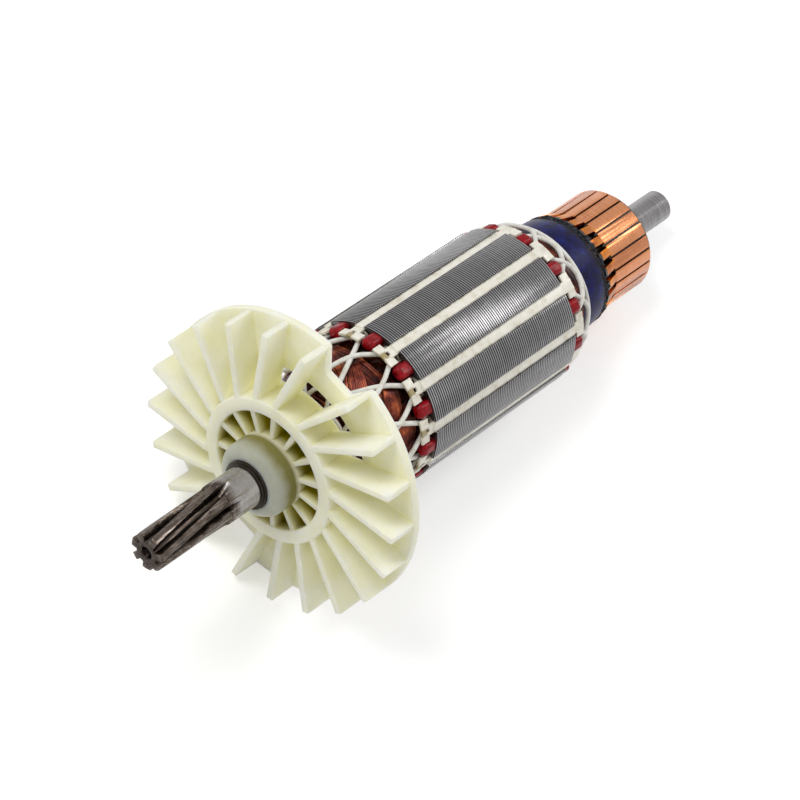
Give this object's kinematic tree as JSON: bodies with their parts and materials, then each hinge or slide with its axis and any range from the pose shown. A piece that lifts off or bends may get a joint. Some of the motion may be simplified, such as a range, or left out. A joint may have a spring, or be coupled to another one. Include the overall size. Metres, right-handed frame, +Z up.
{
  "type": "motor armature",
  "caption": "Wound armature of a commutator motor on a steel shaft, with a cooling fan, a helical pinion cut on one end and a copper commutator near the other.",
  "frame": {"origin": "middle of the part's bounding box on the table plane that it rests on", "axes": "+X runs from the pinion end to the commutator end, level; the shaft dips 11 degrees towards +X as the part lies on its fan and commutator; +Z up"},
  "size_m": [0.1815, 0.073, 0.072],
  "materials": {
    "shaft_steel": "ground steel, dark at the pinion",
    "fan_plastic": "cream glass-filled moulding",
    "stack_steel": "bare stamped electrical steel",
    "tube_plastic": "moulded sleeve",
    "red_insulator": "deep red fibre coated in resin",
    "liner_sheet": "thin insulating sheet",
    "wedge_sheet": "cream glass sheet, resin coated",
    "copper_wire": "enamelled copper wire, resin coated",
    "cord": "white lacing cord",
    "blue_wrap": "dark blue cured band",
    "core_moulding": "dark moulding compound",
    "bar_copper": "turned bare copper"
  },
  "bodies": {
    "root": {"shaft": "shaft_steel", "fan": "fan_plastic", "lamination_stack": "stack_steel", "insulation_tube": "tube_plastic", "front_end_insulator": "red_insulator", "rear_end_insulator": "red_insulator", "slot_liner_01": "liner_sheet", "slot_liner_02": "liner_sheet", "slot_liner_03": "liner_sheet", "slot_liner_04": "liner_sheet", "slot_liner_05": "liner_sheet", "slot_liner_06": "liner_sheet", "slot_liner_07": "liner_sheet", "slot_liner_08": "liner_sheet", "slot_liner_09": "liner_sheet", "slot_liner_10": "liner_sheet", "slot_liner_11": "liner_sheet", "slot_liner_12": "liner_sheet", "slot_wedge_01": "wedge_sheet", "slot_wedge_02": "wedge_sheet", "slot_wedge_03": "wedge_sheet", "slot_wedge_04": "wedge_sheet", "slot_wedge_05": "wedge_sheet", "slot_wedge_06": "wedge_sheet", "slot_wedge_07": "wedge_sheet", "slot_wedge_08": "wedge_sheet", "slot_wedge_09": "wedge_sheet", "slot_wedge_10": "wedge_sheet", "slot_wedge_11": "wedge_sheet", "slot_wedge_12": "wedge_sheet", "winding": "copper_wire", "front_lacing": "cord", "rear_lacing": "cord", "lead_wrap": "blue_wrap", "commutator_core": "core_moulding", "commutator_bar_01": "bar_copper", "commutator_bar_02": "bar_copper", "commutator_bar_03": "bar_copper", "commutator_bar_04": "bar_copper", "commutator_bar_05": "bar_copper", "commutator_bar_06": "bar_copper", "commutator_bar_07": "bar_copper", "commutator_bar_08": "bar_copper", "commutator_bar_09": "bar_copper", "commutator_bar_10": "bar_copper", "commutator_bar_11": "bar_copper", "commutator_bar_12": "bar_copper", "commutator_bar_13": "bar_copper", "commutator_bar_14": "bar_copper", "commutator_bar_15": "bar_copper", "commutator_bar_16": "bar_copper", "commutator_bar_17": "bar_copper", "commutator_bar_18": "bar_copper", "commutator_bar_19": "bar_copper", "commutator_bar_20": "bar_copper", "commutator_bar_21": "bar_copper", "commutator_bar_22": "bar_copper", "commutator_bar_23": "bar_copper", "commutator_bar_24": "bar_copper"}
  },
  "joints": []
}
